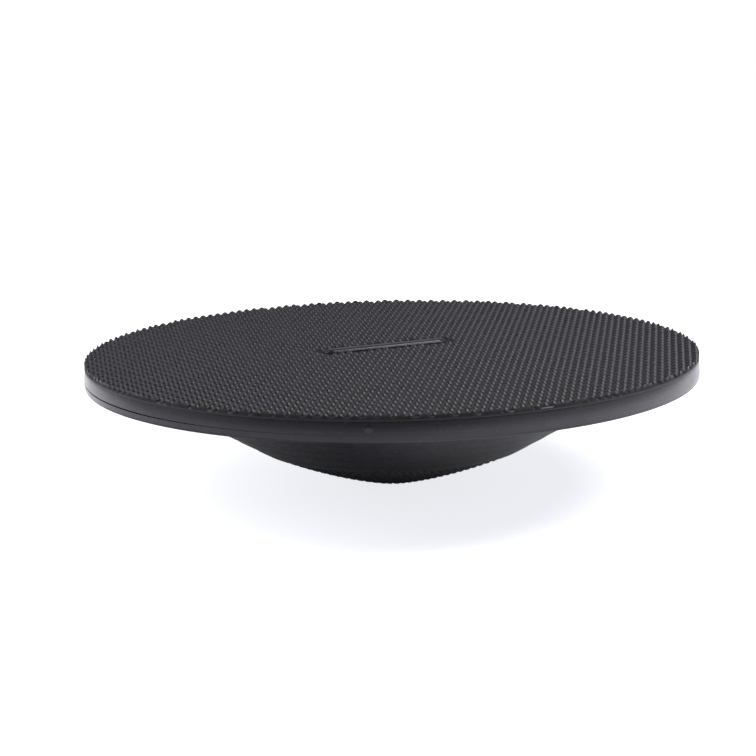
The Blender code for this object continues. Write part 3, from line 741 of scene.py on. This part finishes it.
# The shade, clear and ring spans paint shadow and light into the floor's reflections under the board.
SHADE_SPAN = (-0.08, 0.10)
SHADE_SHARE = (0.05, 0.60)
CLEAR_SPAN = (0.19, 0.38)
RING_SPAN = (0.065, 0.105)
RING_GLOW = (0.02, 0.20)
RING_SIDE_SPAN = (-0.035, 0.03)
RING_SIDE_SHARE = (0.10, 1.35)
LOW_SKY_SPAN = (-0.30, -0.03)
LOW_SKY = (0.75, 0.17)
ZENITH_SPAN = (0.15, 0.55)
ZENITH_SHARE = (1.0, 0.40)
LEFT_HAZE_SPAN = (-0.95, -0.55)
LEFT_HAZE = (0.45, 0.0)
RIGHT_HAZE_SPAN = (0.20, 0.80)
RIGHT_HAZE = (0.0, 0.60)
BACK_HAZE_SPAN = (0.10, 0.60)
BACK_HAZE = (0.0, 0.60)
HORIZON_SPAN = (0.10, 0.30)
FALLING = (1.0, 0.0)
RISING = (0.0, 1.0)

SOFTBOX_WIDTH = 1.2
KEY_PLACE = (1.30, -0.09, 1.78)
KEY_RADIANCE = 8.9
FILL_PLACE = (-1.60, -0.10, 1.20)
FILL_RADIANCE = 5.0


def node_maths(tree):
    """Functions that add one Math or one Map Range node to a tree and give its output."""

    def maths(operation, first, second):
        made = tree.nodes.new("ShaderNodeMath")
        made.operation = operation
        for socket, source in zip(made.inputs, (first, second)):
            if isinstance(source, float):
                socket.default_value = source
            else:
                tree.links.new(source, socket)
        return made.outputs[0]

    def ramp(source, span, ends):
        made = tree.nodes.new("ShaderNodeMapRange")
        for socket, number in zip(list(made.inputs)[1:5], (*span, *ends)):
            socket.default_value = number
        tree.links.new(source, made.inputs["Value"])
        return made.outputs[0]

    return maths, ramp


def floor_paint():
    """Pale matt floor with a glow on top. To the camera the glow makes unshadowed floor white. In
    reflections the glow is painted light: a painted shadow keeps it weak in front and under the board,
    it grows to the sides, most to the right, and towards the back, and a faint painted ring of light
    creeps in under the board's edge. From below the floor is clear, so that the underside of the board
    can be looked at."""
    material = bpy.data.materials.new("floor_paint")
    material.use_nodes = True
    tree = material.node_tree
    tree.nodes.clear()
    maths, ramp = node_maths(tree)
    matt = tree.nodes.new("ShaderNodeBsdfDiffuse")
    matt.inputs["Color"].default_value = (*FLOOR_COLOUR, 1)
    glow = tree.nodes.new("ShaderNodeEmission")
    glow.inputs["Color"].default_value = (*GLOW_COLOUR, 1)
    path = tree.nodes.new("ShaderNodeLightPath")
    place = tree.nodes.new("ShaderNodeTexCoord").outputs["Object"]
    split = tree.nodes.new("ShaderNodeSeparateXYZ")
    reach = tree.nodes.new("ShaderNodeVectorMath")
    reach.operation = "LENGTH"
    tree.links.new(place, split.inputs[0])
    tree.links.new(place, reach.inputs[0])
    rightwards = ramp(split.outputs["X"], RIGHT_SPAN, RIGHT_GLOW)
    leftwards = ramp(split.outputs["X"], LEFT_SPAN, LEFT_GLOW)
    behind = ramp(split.outputs["Y"], BACK_SPAN, BACK_GLOW)
    outside = maths("MAXIMUM", maths("MAXIMUM", leftwards, rightwards), behind)
    shade = ramp(split.outputs["X"], SHADE_SPAN, SHADE_SHARE)
    clear_of_board = ramp(reach.outputs["Value"], CLEAR_SPAN, RISING)
    ring = ramp(reach.outputs["Value"], RING_SPAN, RING_GLOW)
    ring_end = ramp(reach.outputs["Value"], CLEAR_SPAN, FALLING)
    ring_side = ramp(split.outputs["X"], RING_SIDE_SPAN, RING_SIDE_SHARE)
    # A painted ring of light in reflections, under the board's edge, strongest on the right.
    under = maths("MULTIPLY", maths("MULTIPLY", ring, ring_end), ring_side)
    # Painted shadow: the glow in reflections falls away under the board, least on the right.
    painted_glow_with_shadow = maths("MULTIPLY", outside, maths("MAXIMUM", clear_of_board, shade))
    mirrored = maths("MAXIMUM", painted_glow_with_shadow, under)
    to_camera = maths("MULTIPLY", path.outputs["Is Camera Ray"], CAMERA_GLOW)
    to_gloss = maths("MULTIPLY", path.outputs["Is Glossy Ray"], mirrored)
    tree.links.new(maths("ADD", to_camera, to_gloss), glow.inputs["Strength"])
    both = tree.nodes.new("ShaderNodeAddShader")
    tree.links.new(matt.outputs[0], both.inputs[0])
    tree.links.new(glow.outputs[0], both.inputs[1])
    clear = tree.nodes.new("ShaderNodeBsdfTransparent")
    seen = tree.nodes.new("ShaderNodeMixShader")
    tree.links.new(tree.nodes.new("ShaderNodeNewGeometry").outputs["Backfacing"], seen.inputs[0])
    tree.links.new(both.outputs[0], seen.inputs[1])
    tree.links.new(clear.outputs[0], seen.inputs[2])
    out = tree.nodes.new("ShaderNodeOutputMaterial")
    tree.links.new(seen.outputs[0], out.inputs["Surface"])
    return material


turn = np.arange(FLOOR_SIDES) * (2 * np.pi / FLOOR_SIDES)
floor_edge = np.column_stack([np.cos(turn), np.sin(turn), np.zeros(FLOOR_SIDES)]) * FLOOR_REACH
mesh = bpy.data.meshes.new("floor")
mesh.from_pydata(floor_edge.tolist(), [], [list(range(FLOOR_SIDES))])
mesh.materials.append(floor_paint())
floor = bpy.data.objects.new("floor", mesh)
bpy.context.scene.collection.objects.link(floor)

# The sky is bright below the horizon and dim above it, and dimmest overhead. In reflections a haze
# lies on the horizon to the left, to the right and at the back. To the camera it is plain white.
sky = bpy.data.worlds.new("sky")
bpy.context.scene.world = sky
sky.use_nodes = True
tree = sky.node_tree
maths, ramp = node_maths(tree)
background = tree.nodes["Background"]
background.inputs["Color"].default_value = (1, 1, 1, 1)
path = tree.nodes.new("ShaderNodeLightPath")
where = tree.nodes.new("ShaderNodeTexCoord")
split = tree.nodes.new("ShaderNodeSeparateXYZ")
tree.links.new(where.outputs["Generated"], split.inputs[0])
low_sky = ramp(split.outputs["Z"], LOW_SKY_SPAN, LOW_SKY)
high_sky = ramp(split.outputs["Z"], ZENITH_SPAN, ZENITH_SHARE)
upward = maths("MULTIPLY", low_sky, high_sky)
leftward = ramp(split.outputs["X"], LEFT_HAZE_SPAN, LEFT_HAZE)
rightward = ramp(split.outputs["X"], RIGHT_HAZE_SPAN, RIGHT_HAZE)
backward = ramp(split.outputs["Y"], BACK_HAZE_SPAN, BACK_HAZE)
near_horizon = ramp(split.outputs["Z"], HORIZON_SPAN, FALLING)
sides = maths("MAXIMUM", leftward, rightward)
haze = maths("MULTIPLY", maths("MAXIMUM", sides, backward), near_horizon)
mirrored = maths("MAXIMUM", upward, maths("MULTIPLY", haze, path.outputs["Is Glossy Ray"]))
tree.links.new(maths("MAXIMUM", mirrored, path.outputs["Is Camera Ray"]), background.inputs["Strength"])


def softbox(name, place, radiance):
    """A square lamp that faces the board; its power is radiance times pi times its area."""
    lamp = bpy.data.lights.new(name, "AREA")
    lamp.shape = "SQUARE"
    lamp.size = SOFTBOX_WIDTH
    lamp.energy = radiance * math.pi * SOFTBOX_WIDTH**2
    box = bpy.data.objects.new(name, lamp)
    box.location = place
    box.rotation_euler = (-Vector(place)).to_track_quat("-Z", "Y").to_euler()
    box.visible_camera = False
    bpy.context.scene.collection.objects.link(box)


softbox("key_softbox", KEY_PLACE, KEY_RADIANCE)
softbox("fill_softbox", FILL_PLACE, FILL_RADIANCE)


# Camera. It looks along +Y from 1.38 m, 10.7 degrees above the mat, tilted by 1.1 degrees. The shift
# puts the mat's middle at the photograph's pixel.
PHOTO_SIDE = 756
CAMERA_DISTANCE = 1.38
CAMERA_ELEVATION = math.radians(10.68)
CAMERA_ROLL = math.radians(1.08)
FOCAL_PIXELS = 2108
MAT_PIXEL = (391.6, 351.9)
SENSOR = 36.0
CLIP_END = 100.0

optics = bpy.data.cameras.new("camera")
optics.sensor_width = SENSOR
optics.lens = FOCAL_PIXELS * SENSOR / PHOTO_SIDE
optics.shift_x = (PHOTO_SIDE / 2 - MAT_PIXEL[0]) / PHOTO_SIDE
optics.shift_y = (MAT_PIXEL[1] - PHOTO_SIDE / 2) / PHOTO_SIDE
optics.clip_end = CLIP_END
camera = bpy.data.objects.new("camera", optics)
camera.location = (
    0.0,
    -CAMERA_DISTANCE * math.cos(CAMERA_ELEVATION),
    sheet_top + CAMERA_DISTANCE * math.sin(CAMERA_ELEVATION),
)
camera.rotation_mode = "XYZ"
camera.rotation_euler = (math.pi / 2 - CAMERA_ELEVATION, 0.0, 0.0)
bpy.context.scene.collection.objects.link(camera)
bpy.context.view_layer.update()
camera.rotation_euler.rotate_axis("Z", -CAMERA_ROLL)
bpy.context.scene.camera = camera
bpy.context.scene.view_settings.view_transform = "Standard"
